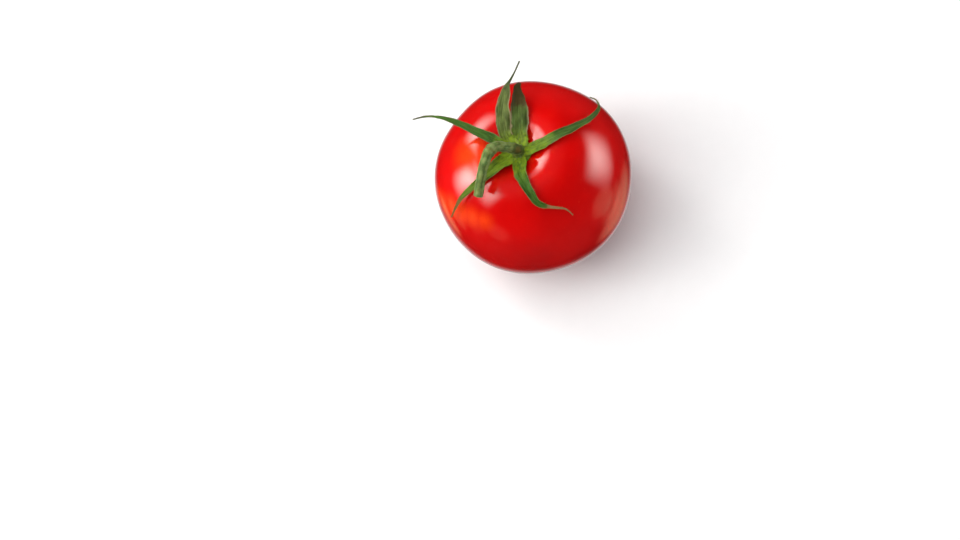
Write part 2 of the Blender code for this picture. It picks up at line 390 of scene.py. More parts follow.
class Look:
    """A material whose shader is fed by procedural nodes."""

    def __init__(self, name, **sockets):
        self.material = bpy.data.materials.new(name)
        self.material.use_nodes = True
        self.nodes = self.material.node_tree.nodes
        self.links = self.material.node_tree.links
        self.shader = self.nodes["Principled BSDF"]
        for socket, value in sockets.items():
            self.shader.inputs[socket.replace("_", " ")].default_value = value
        self.place = self.node("ShaderNodeTexCoord").outputs["Object"]

    def node(self, kind, inputs=(), **settings):
        made = self.nodes.new(kind)
        for setting, value in settings.items():
            setattr(made, setting, value)
        for socket, value in enumerate(inputs):
            self.feed(made.inputs[socket], value)
        return made

    def feed(self, socket, value):
        if isinstance(value, bpy.types.NodeSocket):
            self.links.new(value, socket)
        elif socket.type == "RGBA":
            socket.default_value = (*value, 1)
        else:
            socket.default_value = value

    def set(self, socket, value):
        self.feed(self.shader.inputs[socket], value)

    def value(self, name):
        return self.node("ShaderNodeAttribute", attribute_name=name).outputs["Fac"]

    def math(self, operation, *inputs):
        return self.node("ShaderNodeMath", inputs, operation=operation).outputs[0]

    def vector(self, operation, *inputs, output="Vector"):
        return self.node("ShaderNodeVectorMath", inputs, operation=operation).outputs[output]

    def spread(self, value, low, high, to_low=0.0, to_high=1.0):
        """A smooth change from to_low, where value is low, to to_high, where it is high."""
        inputs = (value, low, high, to_low, to_high)
        made = self.node("ShaderNodeMapRange", inputs, interpolation_type="SMOOTHSTEP")
        return made.outputs["Result"]

    def mix(self, share, first, second):
        """The first colour where share is 0, the second one where it is 1."""
        made = self.node("ShaderNodeMix", data_type="RGBA")
        self.feed(made.inputs["Factor"], share)
        self.feed(made.inputs[MIX_FIRST_COLOUR], first)
        self.feed(made.inputs[MIX_SECOND_COLOUR], second)
        return made.outputs[MIX_RESULT_COLOUR]

    def noise(self, size, detail=3.0, stretch=None, seed=0.0):
        """Noise whose features are size millimetres across, stretched along an axis if asked."""
        place = self.place
        if stretch or seed:
            place = self.node("ShaderNodeMapping")
            self.feed(place.inputs["Vector"], self.place)
            place.inputs["Location"].default_value = (seed, seed, seed)
            place.inputs["Scale"].default_value = stretch or (1, 1, 1)
            place = place.outputs[0]
        made = self.node("ShaderNodeTexNoise")
        self.feed(made.inputs["Vector"], place)
        made.inputs["Scale"].default_value = 1 / (size * MM)
        made.inputs["Detail"].default_value = detail
        return made.outputs["Fac"]

    def cells(self, size):
        """Distance from the middles of cells that are size millimetres across, in cell widths."""
        made = self.node("ShaderNodeTexVoronoi", (self.place,))
        made.inputs["Scale"].default_value = 1 / (size * MM)
        return made.outputs["Distance"]

    def fibres(self, along, across, length, number):
        """Noise drawn out into fibres, from a value along them and a value across them."""
        place = self.node("ShaderNodeCombineXYZ")
        self.feed(place.inputs[0], self.math("MULTIPLY", along, length))
        self.feed(place.inputs[1], self.math("MULTIPLY", across, number))
        made = self.node("ShaderNodeTexNoise", (place.outputs[0],))
        made.inputs["Scale"].default_value = 1.0
        made.inputs["Detail"].default_value = 4.0
        return made.outputs["Fac"]

    def relief(self, height, depth):
        """Bump whose full height is depth millimetres."""
        made = self.node("ShaderNodeBump")
        made.inputs["Strength"].default_value = 1.0
        made.inputs["Distance"].default_value = depth * MM
        self.feed(made.inputs["Height"], height)
        self.set("Normal", made.outputs[0])


# ---- Fruit ----

SKIN_SIDES = 300
SKIN_RINGS = 230
SKIN_CROWDING = 0.6  # how much closer the rings lie in the cavity and at the blossom end
CONTACT_SOFTNESS = 0.3  # how softly the skin turns on to the flat spot
DIMPLE_RADIUS = 6.5
DIMPLE_DEPTH = 0.7
SCAR_RADIUS = 1.3
CROWN_RADIUS = 11  # how far from the axis the pale streaks run
SWELL = 0.26  # the skin's broad unevenness and its fine one
FINE_SWELL = 0.02
CAVITY_PLEATS = 11
PLEAT_RELIEF = 0.05
PLEAT_RADIUS = 7.0
SCAR_POINTS = 7

# Places of the painted glow: orange round the highlights and along the lit band low on the left.
# Direction round the axis, elevation seen from the fruit's middle, and half angle, in degrees.
PAINTED_GLOW_PATCHES = (
    (146, 62, 19),
    (161, 21, 10),
    (169, 26, 10),
    (177, 32, 11),
    (186, 37, 11),
    (195, 40, 11),
    (205, 42, 10),
)


def skin_relief(point, azimuth):
    """How far the fine skin stands off the plain shape."""
    radius = point.xy.length
    relief = SWELL * ripple(point, 19, 1) + FINE_SWELL * ripple(point, 5, 2)
    wobble = 1.2 * ripple((math.cos(azimuth), math.sin(azimuth), 0), 0.6, 3)
    pleats = 0.6 + 0.8 * ripple((math.cos(azimuth), math.sin(azimuth), 2), 0.5, 4)
    in_cavity = bump(radius, PLEAT_RADIUS, 3.4) * (point.z > EQUATOR_HEIGHT)
    relief += PLEAT_RELIEF * pleats * in_cavity * math.cos(CAVITY_PLEATS * azimuth + wobble)
    return relief * smooth(0.5, 4.0, point.z)


def blossom_end(point, azimuth):
    """The underside: a soft edge round the flat spot, a dimple in it, and the scar in its middle."""
    point.z = 0.5 * (point.z + math.hypot(point.z, CONTACT_SOFTNESS))
    radius = point.xy.length
    pucker = 1 + 0.18 * math.cos(SCAR_POINTS * azimuth + 0.6 * math.sin(2 * azimuth))
    inside = max(0.0, 1 - (radius / DIMPLE_RADIUS) ** 2)
    point.z += DIMPLE_DEPTH * inside**2 * (1 + (pucker - 1) * smooth(0.4, 2.5, radius))
    ragged = SCAR_RADIUS * (1 + 0.35 * ripple((math.cos(azimuth), math.sin(azimuth), 5), 0.4, 5))
    point.z -= 0.16 * bump(radius, ragged, 0.35) + 0.10 * ripple(point, 0.45, 6) * bump(radius, 0, 1.4)


def make_fruit_look():
    shape = Shape("crown", "scar")
    rings = []
    for step in range(SKIN_RINGS + 1):
        share = step / SKIN_RINGS
        polar = math.pi * (share - SKIN_CROWDING * math.sin(math.tau * share) / math.tau)
        sides = 1 if step in (0, SKIN_RINGS) else SKIN_SIDES
        ring = []
        for side in range(sides):
            azimuth = math.tau * side / sides
            point = skin_point(polar, azimuth)
            outward = Vector((0, 0, 1))
            if step > 0:
                outward = Matrix.Rotation(azimuth, 3, "Z") @ skin_normal(polar, 0)
            radius = point.xy.length
            below = polar > math.pi / 2
            crown = 0.0 if below else bump(radius, 0, CROWN_RADIUS)
            scar = bump(radius, 0, SCAR_RADIUS * 1.3) if below else 0.0
            point += outward * skin_relief(point, azimuth)
            if below:
                blossom_end(point, azimuth)
            ring.append(shape.add(point, crown=crown, scar=scar))
        rings.append(ring)
    shape.loft(rings)
    return shape.piece("fruit_look", skin_material())


def skin_material():
    look = Look(
        "tomato_skin",
        Coat_Weight=1.0,
        Coat_Roughness=0.11,
        Coat_IOR=1.7,
        Subsurface_Weight=0.12,
        Subsurface_Scale=2.5 * MM,
        Specular_IOR_Level=0.02,
    )
    look.shader.inputs["Subsurface Radius"].default_value = (1.0, 0.25, 0.1)
    red = (0.61, 0.0008, 0.0006)
    deep = (0.51, 0.0006, 0.0005)
    orange = (0.80, 0.055, 0.004)
    pale_dot = (0.80, 0.16, 0.04)
    dry_brown = (0.16, 0.085, 0.035)
    middle = Vector((0, 0, EQUATOR_HEIGHT * MM))
    outward = look.vector("NORMALIZE", look.vector("SUBTRACT", look.place, middle))

    broad = look.noise(16, detail=2)
    colour = look.mix(look.spread(broad, 0.35, 0.65), red, deep)
    # Painted glow: orange round the left highlights and along the lit band low on the left.
    painted_glow = 0.0
    uneven = look.spread(broad, 0.3, 0.7, -0.02, 0.02)
    for azimuth, elevation, half_angle in PAINTED_GLOW_PATCHES:
        facing = look.vector("DOT_PRODUCT", outward, toward(azimuth, elevation), output="Value")
        off = look.math("ADD", look.math("ARCCOSINE", facing), uneven)
        painted_glow = look.math("MAXIMUM", painted_glow, look.spread(off, 0.0, math.radians(half_angle), 1.0, 0.0))
    colour = look.mix(look.math("MULTIPLY", painted_glow, 0.8), colour, orange)
    # Pale streaks run out of the cavity.
    streaks = look.noise(2.2, detail=4, stretch=(1, 1, 0.25))
    crown = look.value("crown")
    streak_share = look.math("MULTIPLY", look.spread(streaks, 0.5, 0.75), crown)
    colour = look.mix(look.math("MULTIPLY", streak_share, 0.35), colour, orange)
    # Fine pale dots, some millimetres apart.
    dots = look.spread(look.cells(1.7), 0.10, 0.16, 1.0, 0.0)
    dots = look.math("MULTIPLY", dots, look.spread(look.noise(4, seed=0.3), 0.45, 0.7))
    colour = look.mix(look.math("MULTIPLY", dots, 0.12), colour, pale_dot)
    fine = look.noise(0.7, detail=4)
    colour = look.mix(look.spread(fine, 0.3, 0.7, 0.0, 0.22), colour, deep)
    # The blossom scar.
    scar = look.spread(look.math("ADD", look.value("scar"), look.math("MULTIPLY", fine, 0.5)), 0.75, 1.05)
    colour = look.mix(scar, colour, dry_brown)
    look.set("Base Color", colour)
    rough = look.math("ADD", look.spread(fine, 0.3, 0.7, 0.36, 0.44), look.math("MULTIPLY", scar, 0.4))
    look.set("Roughness", rough)
    grain = look.math("ADD", look.noise(0.35, detail=3), look.math("MULTIPLY", look.noise(2.6), 1.6))
    look.relief(grain, 0.003)
    return look.material


# ---- Calyx ----

SEPAL_RINGS = 100
HALF_COLUMNS = 9
CAD_DISC_RADIUS = 4.4
CAD_ROOT_GAP = 0.3
SEPAL_ROOT = 2.4  # how far from the stem axis the blades start, on the disc
ROOT_LIFT = 1.9
THREAD_THINNING = 0.4
ROOT_FLARE = 0.08  # how much wider the blade is where it joins the disc
BLADE_THICKNESS = 0.55
MARGIN_THICKNESS = 0.16
GROOVE_DEPTH = 0.16  # along the midrib on top
KEEL_DEPTH = 0.20  # along the midrib underneath
VEIN_RELIEF = 0.035
SEPAL_HAIRS = 420
MARGIN_HAIR_SHARE = 0.55


def cad_root(width):
    """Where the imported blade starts, and so where its share of the length is 0."""
    edge_rise = width * SEPAL_WAIST_SHARE / 2 * math.tan(SEPAL_FOLD)
    lean = over_skin(CAD_DISC_RADIUS, 0, 0)[1].xy.length
    return CAD_DISC_RADIUS + SEAT_GAP + (RESTING + edge_rise + CAD_ROOT_GAP) * lean


def blade_width(sepal, share, distance):
    """Full width at a share of the length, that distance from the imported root."""
    taper = (1 - share) ** 1.5 * (1 + 1.6 * share)
    width = sepal["width"] * (SEPAL_TIP_SHARE + (1 - SEPAL_TIP_SHARE) * taper)
    flare = ROOT_FLARE * bump(distance, 0, 3.0)
    thread = 1 - THREAD_THINNING * smooth(sepal["thread"], sepal["thread"] + 0.08, share)
    slim = 1 - sepal["slim"] * smooth(0.15, 0.45, share)
    return width * (1 + flare) * thread * slim


def blade_frames(sepal):
    """(point, forward, up, side, share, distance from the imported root) for each ring."""
    root = cad_root(sepal["width"])
    on_disc = (SEPAL_ROOT, sepal["root"], ROOT_LIFT)
    at_rim = (root, sepal["root"], RESTING + 0.1)
    stations = (on_disc, at_rim, *sepal["route"])
    last = len(stations) - 1
    points, outwards, shares = [], [], []
    for ring in range(SEPAL_RINGS + 1):
        place = last * ring / SEPAL_RINGS
        distance, azimuth, lift = along(stations, place)
        point, outward = over_skin(distance, math.radians(azimuth), lift)
        points.append(point)
        outwards.append(outward)
        shares.append(max(0.0, (place - 1) / (last - 1)))
    travelled = [0.0]
    for near, far in zip(points, points[1:]):
        travelled.append(travelled[-1] + (far - near).length)
    start = next(length for length, share in zip(travelled, shares) if share > 0)
    frames = []
    parts = zip(points, directions(points), outwards, shares, travelled)
    for point, forward, outward, share, length in parts:
        up = (outward - forward * outward.dot(forward)).normalized()
        up = Matrix.Rotation(math.radians(sepal["turn"]) * share**2, 3, forward) @ up
        frames.append((point, forward, up, forward.cross(up), share, length - start))
    return frames


def blade_section(sepal, seed, share, distance):
    """(across, sideways, rise of the top, rise of the underside) from margin to margin."""
    width = blade_width(sepal, share, distance)
    section = []
    for column in range(-HALF_COLUMNS, HALF_COLUMNS + 1):
        across = math.sin(math.pi / 2 * column / HALF_COLUMNS)
        away = abs(across)
        hand = 1 if across > 0 else -1
        edge = 1 + 0.12 * ripple((distance, hand * 9, seed), 2.6, 11)
        edge += 0.05 * ripple((distance, hand * 9, seed), 0.8, 12)
        half = width / 2 * (1 + (edge - 1) * away)
        rise = half * math.tan(SEPAL_FOLD) * (math.sqrt(across**2 + 0.02) - 0.14)
        curl = ripple((distance, hand * 5, seed), 5.0, 13) * 1.6 + 0.1
        rise += curl * half * 0.45 * smooth(0.45, 1.0, away) * smooth(0.0, 3.0, distance)
        rise += 0.10 * ripple((distance, hand * 3, seed), 1.4, 14) * smooth(0.5, 1.0, away)
        from_midrib = away * half
        rise -= GROOVE_DEPTH * bump(from_midrib, 0, 0.3) * (1 - share)
        veins = bump(away, 0.42, 0.07) + bump(away, 0.74, 0.06)
        rise += VEIN_RELIEF * veins * min(1.0, width / 3)
        thickness = BLADE_THICKNESS + (MARGIN_THICKNESS - BLADE_THICKNESS) * smooth(0.0, 1.0, away)
        thickness *= 1 - 0.35 * share
        keel = KEEL_DEPTH * bump(from_midrib, 0, 0.32) * (1 - 0.7 * share)
        sideways = across * half
        section.append((across, sideways, rise + thickness / 2, rise - thickness / 2 - keel))
    return section


def make_sepal_look(name, seed):
    sepal = SEPALS[name]
    shape = Shape("length_share", "across", "underside")
    random_hairs = random.Random(seed)
    rings, tops = [], []
    for point, forward, up, side, share, distance in blade_frames(sepal):
        section = blade_section(sepal, seed, share, distance)
        top_ring, under_ring, top_points = [], [], []
        for across, sideways, top, under in section:
            values = {"length_share": share, "across": across}
            upper = point + side * sideways + up * top
            top_ring.append(shape.add(upper, **values))
            top_points.append((upper, values))
            lower = point + side * sideways + up * under
            under_ring.append(shape.add(lower, underside=1.0, **values))
        rings.append(top_ring + under_ring[::-1])
        tops.append((top_points, forward, up, side))
    shape.loft(rings)
    shape.faces.append(tuple(reversed(rings[0])))
    shape.faces.append(tuple(rings[-1]))
    for _ in range(SEPAL_HAIRS):
        top_points, forward, up, side = random_hairs.choice(tops[SEPAL_RINGS // 8:])
        at_margin = random_hairs.random() < MARGIN_HAIR_SHARE
        column = random_hairs.choice((0, -1)) if at_margin else random_hairs.randrange(len(top_points))
        root, values = top_points[column]
        lean = random_hairs.uniform(-0.6, 0.6)
        out = side * (1 if values["across"] > 0 else -1) if at_margin else up
        across_lean = random_hairs.uniform(-0.5, 0.5)
        direction = (out + forward * (0.35 + lean) + up * across_lean * 0.6).normalized()
        length = random_hairs.uniform(0.25, 0.65)
        shape.hair(root, direction, length, random_hairs.uniform(0.014, 0.022), **values)
    return shape.piece(name + "_look", sepal_material(name))


def sepal_material(name):
    sepal = SEPALS[name]
    look = Look(
        name + "_green",
        Sheen_Weight=0.02,
        Sheen_Roughness=0.5,
        Subsurface_Weight=0.08,
        Subsurface_Scale=0.6 * MM,
        Specular_IOR_Level=0.14,
    )
    darker = [0.55 * part for part in sepal["blade"]]
    pale = [1.6 * part + 0.01 for part in sepal["blade"]]
    dull_green = (0.16, 0.24, 0.09)
    share, across = look.value("length_share"), look.value("across")
    away = look.math("ABSOLUTE", across)
    blotches = look.noise(2.4, detail=4)
    fine = look.noise(0.35, detail=4)
    place = look.math("ADD", share, look.math("MULTIPLY", look.math("SUBTRACT", blotches, 0.5), 0.25))
    colour = look.mix(look.spread(place, 0.02, 0.30), FRESH_GREEN, sepal["blade"])
    colour = look.mix(look.spread(blotches, 0.42, 0.72, 0.0, 0.6), colour, darker)
    # Paler lines along the midrib and the veins.
    midrib = look.spread(away, 0.0, 0.16, 1.0, 0.0)
    vein = look.math("PINGPONG", look.math("ADD", away, look.math("MULTIPLY", fine, 0.06)), 0.16)
    vein = look.spread(vein, 0.0, 0.045, 0.55, 0.0)
    lines = look.math("MAXIMUM", midrib, vein)
    colour = look.mix(look.math("MULTIPLY", lines, 0.45), colour, pale)
    fibres = look.fibres(share, across, 7, 5)
    colour = look.mix(look.spread(fibres, 0.49, 0.63, 0.0, 0.7), colour, pale)
    colour = look.mix(look.spread(fibres, 0.35, 0.49, 0.8, 0.0), colour, darker)
    # Dried margins, and the withered tip.
    uneven = look.math("ADD", away, look.math("MULTIPLY", look.math("SUBTRACT", blotches, 0.5), 0.5))
    margin = look.spread(uneven, 0.80, 0.98)
    margin = look.math("MULTIPLY", margin, look.spread(share, 0.03, 0.22))
    colour = look.mix(look.math("MULTIPLY", margin, sepal["margin"]), colour, TAN)
    tip = look.spread(place, sepal["tip_start"], sepal["tip_start"] + 0.12)
    colour = look.mix(look.math("MULTIPLY", tip, 0.9), colour, sepal["tip"])
    pale_under = look.mix(0.5, colour, dull_green)
    colour = look.mix(look.math("MULTIPLY", look.value("underside"), 0.7), colour, pale_under)
    colour = look.mix(look.spread(fine, 0.3, 0.75, 0.0, 0.25), colour, darker)
    look.set("Base Color", colour)
    look.set("Roughness", look.spread(fine, 0.3, 0.7, 0.46, 0.66))
    height = look.math("ADD", look.math("MULTIPLY", lines, 0.5), look.math("ADD", fine, blotches))
    look.relief(look.math("ADD", height, fibres), 0.06)
    return look.material


DISC_RINGS = 30
DISC_SIDES = 120
DISC_CORE = 4.9
DISC_LOBE = 1.1
DISC_DROP = 0.5  # how thick the rim of the fleshy disc is
COLLAR_RADIUS = 2.5
COLLAR_RELIEF = 0.35
DISC_HAIRS = 160
UNDERSIDE_RINGS = 8


def disc_reach(azimuth):
    """The fleshy disc runs out a little under each sepal."""
    reach = DISC_CORE
    for sepal in SEPALS.values():
        off = (math.degrees(azimuth) - sepal["root"] + 180) % 360 - 180
        reach += DISC_LOBE * bump(off, 0, 15)
    return reach


def make_disc_look():
    shape = Shape("groove")
    random_hairs = random.Random(40)
    rings = []
    tops = []
    steps = [(step / DISC_RINGS, True) for step in range(DISC_RINGS + 1)]
    steps += [(1 - step / UNDERSIDE_RINGS, False) for step in range(1, UNDERSIDE_RINGS + 1)]
    for share, top in steps:
        ring = []
        sides = DISC_SIDES if share > 0 else 1
        for side in range(sides):
            azimuth = math.tau * side / sides
            reach = disc_reach(azimuth)
            distance = reach * share
            lobe = (reach - DISC_CORE) / DISC_LOBE
            height = 0.12
            if top:
                dome = (DISC_THICKNESS + 0.1 - DISC_DROP) * (1 - share**2) ** 0.8 + DISC_DROP
                height += dome * (0.86 + 0.14 * lobe) - 0.25 * (1 - lobe) * bump(share, 0.8, 0.3)
                height += COLLAR_RELIEF * bump(distance, COLLAR_RADIUS, 0.55)
                place = (distance * math.cos(azimuth), distance * math.sin(azimuth), 0)
                height += 0.12 * ripple(place, 0.9, 21)
            point = above_skin(distance, azimuth, height)
            ring.append(shape.add(point, groove=(1 - lobe) * share))
            if top and 0.55 < share < 0.98:
                tops.append(point)
        rings.append(ring)
    shape.loft(rings)
    for root in random_hairs.sample(tops, DISC_HAIRS):
        direction = Vector((root.x, root.y, 0)).normalized() * 0.4 + Vector((0, 0, 1))
        direction += Vector([random_hairs.uniform(-0.4, 0.4) for _ in range(3)])
        shape.hair(root, direction.normalized(), random_hairs.uniform(0.25, 0.55), 0.018)
    return shape.piece("calyx_disc_look", disc_material())


def disc_material():
    look = Look(
        "calyx_disc_green",
        Sheen_Weight=0.02,
        Subsurface_Weight=0.1,
        Subsurface_Scale=0.8 * MM,
        Specular_IOR_Level=0.14,
    )
    deep_green = (0.13, 0.24, 0.008)
    painted_shade_green = (0.075, 0.13, 0.012)
    dark_green = (0.06, 0.12, 0.012)
    dry_brown = (0.16, 0.12, 0.03)
    blotches = look.noise(1.6, detail=4)
    fine = look.noise(0.3, detail=4)
    colour = look.mix(look.spread(blotches, 0.35, 0.7), FRESH_GREEN, deep_green)
    # Painted shade: darker green in the grooves between the sepals' lobes, out towards the rim.
    shade = look.math("ADD", look.value("groove"), look.math("MULTIPLY", blotches, 0.3))
    shade = look.spread(shade, 0.5, 1.1)
    colour = look.mix(look.math("MULTIPLY", shade, 0.5), colour, painted_shade_green)
    brown = look.spread(look.noise(1.1, detail=5, seed=0.2), 0.58, 0.72)
    colour = look.mix(look.math("MULTIPLY", brown, 0.5), colour, dry_brown)
    colour = look.mix(look.spread(fine, 0.3, 0.75, 0.0, 0.3), colour, dark_green)
    look.set("Base Color", colour)
    look.set("Roughness", look.spread(fine, 0.3, 0.7, 0.4, 0.62))
    look.relief(look.math("ADD", fine, blotches), 0.07)
    return look.material


# ---- Stem ----

STEM_RINGS = 130
STEM_SIDES = 32
STEM_HAIRS = 900
STEM_RIDGES = 5
RIDGE_RELIEF = 0.085
CORK_PLACE = 0.26  # along the stem, on top of the first bend
CORK_RADIUS = 1.9


def stem_radius(share, length):
    radius = STEM_RADIUS + (STEM_END_RADIUS - STEM_RADIUS) * share
    foot = bump(share * length, 0, STEM_FOOT_LENGTH)
    knuckle = bump((share - KNUCKLE_PLACE) * length, 0, KNUCKLE_LENGTH / 2)
    return radius + (STEM_FOOT_RADIUS - STEM_RADIUS) * foot + (KNUCKLE_RADIUS - STEM_RADIUS) * knuckle


def stem_line():
    foot = Vector((0, 0, skin_point(0, 0).z + SEAT_GAP + DISC_THICKNESS - 0.3))
    route = [foot, foot + Vector((0, 0, 0.6 + STEM_FOOT_LENGTH / 2))]
    route += [above_skin(d, math.radians(a), h) for d, a, h in STEM_ROUTE]
    last = len(route) - 1
    return [Vector(along(route, last * step / STEM_RINGS)) for step in range(STEM_RINGS + 1)]


def make_stem_look():
    shape = Shape("length_share", "around", "cork", "cut", "groove")
    points = stem_line()
    lengths = [0.0]
    for near, far in zip(points, points[1:]):
        lengths.append(lengths[-1] + (far - near).length)
    length = lengths[-1]
    forwards = directions(points)
    forwards[0] = Vector((0, 0, 1))
    cork_at = points[round(CORK_PLACE * STEM_RINGS)] + Vector((0.1, -0.75, 0.75)).normalized() * STEM_RADIUS
    side = Vector((1, 0, 0))
    rings, surface = [], []
    for point, forward, travelled in zip(points, forwards, lengths):
        share = travelled / length
        side = (side - forward * side.dot(forward)).normalized()
        up = forward.cross(side)
        from_knuckle = travelled - KNUCKLE_PLACE * length
        ring = []
        for corner in range(STEM_SIDES):
            angle = math.tau * corner / STEM_SIDES
            outward = side * math.cos(angle) + up * math.sin(angle)
            wander = 0.5 * math.sin(3 * share) + 1.2 * ripple((share * 3, angle, 0), 1, 31)
            ridge = math.cos(STEM_RIDGES * angle + wander)
            radius = stem_radius(share, length)
            radius += RIDGE_RELIEF * ridge * smooth(0.5, 3.0, travelled)
            radius += 0.45 * bump(travelled, 0, 0.7)
            radius += 0.12 * bump(from_knuckle, -0.9, 0.5) + 0.10 * bump(from_knuckle, 0.8, 0.45)
            radius -= 0.20 * bump(from_knuckle, 0, 0.28)
            place = point + outward * radius
            radius += 0.16 * ripple(place, 1.5, 32) + 0.05 * ripple(place, 0.5, 33)
            place = point + outward * radius
            cork = bump((place - cork_at).length, 0, CORK_RADIUS)
            place += outward * 0.12 * cork * (0.5 + ripple(place, 0.5, 34))
            groove = bump(from_knuckle, 0, 0.35)
            values = {"length_share": share, "around": math.cos(angle), "cork": cork, "groove": groove}
            ring.append(shape.add(place, **values))
            surface.append((place, outward, forward, values))
        rings.append(ring)
    shape.loft(rings)
    shape.faces.append(tuple(reversed(rings[0])))
    close_cut_end(shape, rings[-1], points[-1], forwards[-1])
    grow_stem_hairs(shape, surface)
    return shape.piece("stem_look", stem_material())


# (share of the radius, rise over the edge) from the rim to the pith.
CUT_PROFILE = ((0.95, 0.10), (0.84, 0.12), (0.76, 0.02), (0.55, -0.16), (0.25, -0.10))


def close_cut_end(shape, edge, middle, forward):
    """The clean cut: a raised pale rim, then pith that has shrunk back."""
    last = edge
    for share, rise in CUT_PROFILE:
        ring = []
        for index in edge:
            outward = shape.points[index] - middle
            grain = 0.05 * ripple(shape.points[index] * share, 0.5, 35)
            cut = 1.0 if share > 0.8 else 0.6
            place = middle + outward * share + forward * (rise + grain)
            ring.append(shape.add(place, length_share=1.0, cut=cut))
        shape.join(last, ring)
        last = ring
    shape.join(last, [shape.add(middle - forward * 0.06, length_share=1.0, cut=0.4)])


def grow_stem_hairs(shape, surface):
    random_hairs = random.Random(50)
    for _ in range(STEM_HAIRS):
        root, outward, forward, values = random_hairs.choice(surface[STEM_SIDES * 6:])
        lean = forward * random_hairs.uniform(-0.4, 0.5)
        lean += forward.cross(outward) * random_hairs.uniform(-0.4, 0.4)
        hair_length = random_hairs.uniform(0.3, 0.8)
        hair_radius = random_hairs.uniform(0.015, 0.024)
        shape.hair(root, (outward + lean).normalized(), hair_length, hair_radius, **values)


def stem_material():
    look = Look(
        "stem_green",
        Sheen_Weight=0.02,
        Sheen_Roughness=0.5,
        Subsurface_Weight=0.08,
        Subsurface_Scale=0.8 * MM,
        Specular_IOR_Level=0.14,
    )
    foot_green = (0.135, 0.20, 0.012)
    stem_green = (0.125, 0.17, 0.035)
    dark_green = (0.06, 0.125, 0.025)
    pale_fleck = (0.20, 0.27, 0.11)
    pale_fibre = (0.21, 0.27, 0.10)
    dark_fibre = (0.045, 0.075, 0.018)
    dry_brown = (0.16, 0.11, 0.045)
    knuckle_brown = (0.10, 0.09, 0.02)
    painted_shade_dark = (0.030, 0.050, 0.008)
    cork_brown = (0.098, 0.084, 0.014)
    cut_pith = (0.42, 0.44, 0.16)
    cut_rim = (0.36, 0.47, 0.10)
    blotches = look.noise(2.0, detail=4)
    fine = look.noise(0.3, detail=4)
    share = look.value("length_share")
    colour = look.mix(look.spread(share, 0.05, 0.30), foot_green, stem_green)
    colour = look.mix(look.spread(blotches, 0.38, 0.68), colour, dark_green)
    colour = look.mix(look.spread(fine, 0.35, 0.75, 0.0, 0.4), colour, pale_fleck)
    fibres = look.fibres(share, look.value("around"), 14, 3)
    colour = look.mix(look.spread(fibres, 0.49, 0.63, 0.0, 0.6), colour, pale_fibre)
    colour = look.mix(look.spread(fibres, 0.35, 0.49, 0.7, 0.0), colour, dark_fibre)
    streaks = look.spread(look.noise(0.9, detail=5, seed=0.4), 0.60, 0.72)
    colour = look.mix(look.math("MULTIPLY", streaks, 0.45), colour, dry_brown)
    colour = look.mix(look.math("MULTIPLY", look.value("groove"), 0.6), colour, knuckle_brown)
    # The brown corky spot on top of the first bend, and round it painted shade: a dark ring on the sides of
    # the bend.
    ragged = look.math("MULTIPLY", look.math("SUBTRACT", fine, 0.5), 0.6)
    cork = look.math("ADD", look.value("cork"), ragged)
    painted_shade_ring = look.math("MULTIPLY", look.spread(cork, 0.10, 0.35), 0.7)
    colour = look.mix(painted_shade_ring, colour, painted_shade_dark)
    colour = look.mix(look.spread(cork, 0.50, 0.85), colour, cork_brown)
    cut = look.value("cut")
    colour = look.mix(look.spread(cut, 0.1, 0.4), colour, cut_pith)
    colour = look.mix(look.spread(cut, 0.7, 0.95), colour, cut_rim)
    look.set("Base Color", colour)
    look.set("Roughness", look.spread(fine, 0.3, 0.7, 0.48, 0.7))
    look.relief(look.math("ADD", fine, blotches), 0.07)
    return look.material


# ---- Setting ----

CAMERA_DISTANCE = 0.92
CAMERA_ELEVATION = math.radians(70)
CAMERA_ROLL = math.radians(36)
CAMERA_LENS = 100
AIM_RIGHT = 0.0185  # how far the fruit's middle lies off the picture's middle, at the fruit
AIM_UP = 0.0317
BACKDROP_RADIUS = 3.0
BACKDROP_HEIGHT = 2.4
BACKDROP_RINGS = 24
BACKDROP_SIDES = 96
FLOOR_RADIANCE = 0.08
WALL_RADIANCE = 0.40
DOME_RADIANCE = 0.15
LIGHT_DISTANCE = 0.9
LIGHT_COLOUR = (1.0, 0.96, 0.91)
WORLD_RADIANCE = 0.008

# Direction round the axis, elevation, half width and half height, in degrees, radiance, and how far
# up its height it is brightest.
SOFTBOXES = {
    "softbox_left": (152, 26, 15, 34, 9.0, 0.50),
    "softbox_low_left": (177, 41, 14, 25, 4.4, 0.50),
    "softbox_high": (146, 56, 14, 15, 5.0, 0.50),
    "softbox_rear": (101, 34, 15, 32, 7.0, 0.50),
    "softbox_right": (-22, -3, 27, 27, 5.2, 0.64),
}
# The same for the lights that the skin doesn't mirror.
FILL_LIGHTS = {
    "fill_above": (120, 78, 48, 48, 3.0, 0.50),
}
# Direction, elevation and half angle, in degrees, radiance, and how much green and blue it has.
PALE_PATCHES = (
    (146, -46, 10, 0.9, 0.60, 0.30),
    (160, -24, 13, 0.9, 0.35, 0.15),
    (178, -10, 14, 0.5, 0.30, 0.12),
    (204, -3, 14, 0.4, 0.50, 0.35),
    (-53, -24, 17, 0.6, 0.70, 0.45),
    (-45, -42, 17, 0.4, 0.70, 0.45),
    (-34, -59, 21, 0.7, 0.70, 0.45),
    (90, -72, 30, 0.6, 1.00, 1.00),
)


def unit_circle(sides):
    return [(math.cos(math.tau * i / sides), math.sin(math.tau * i / sides)) for i in range(sides)]


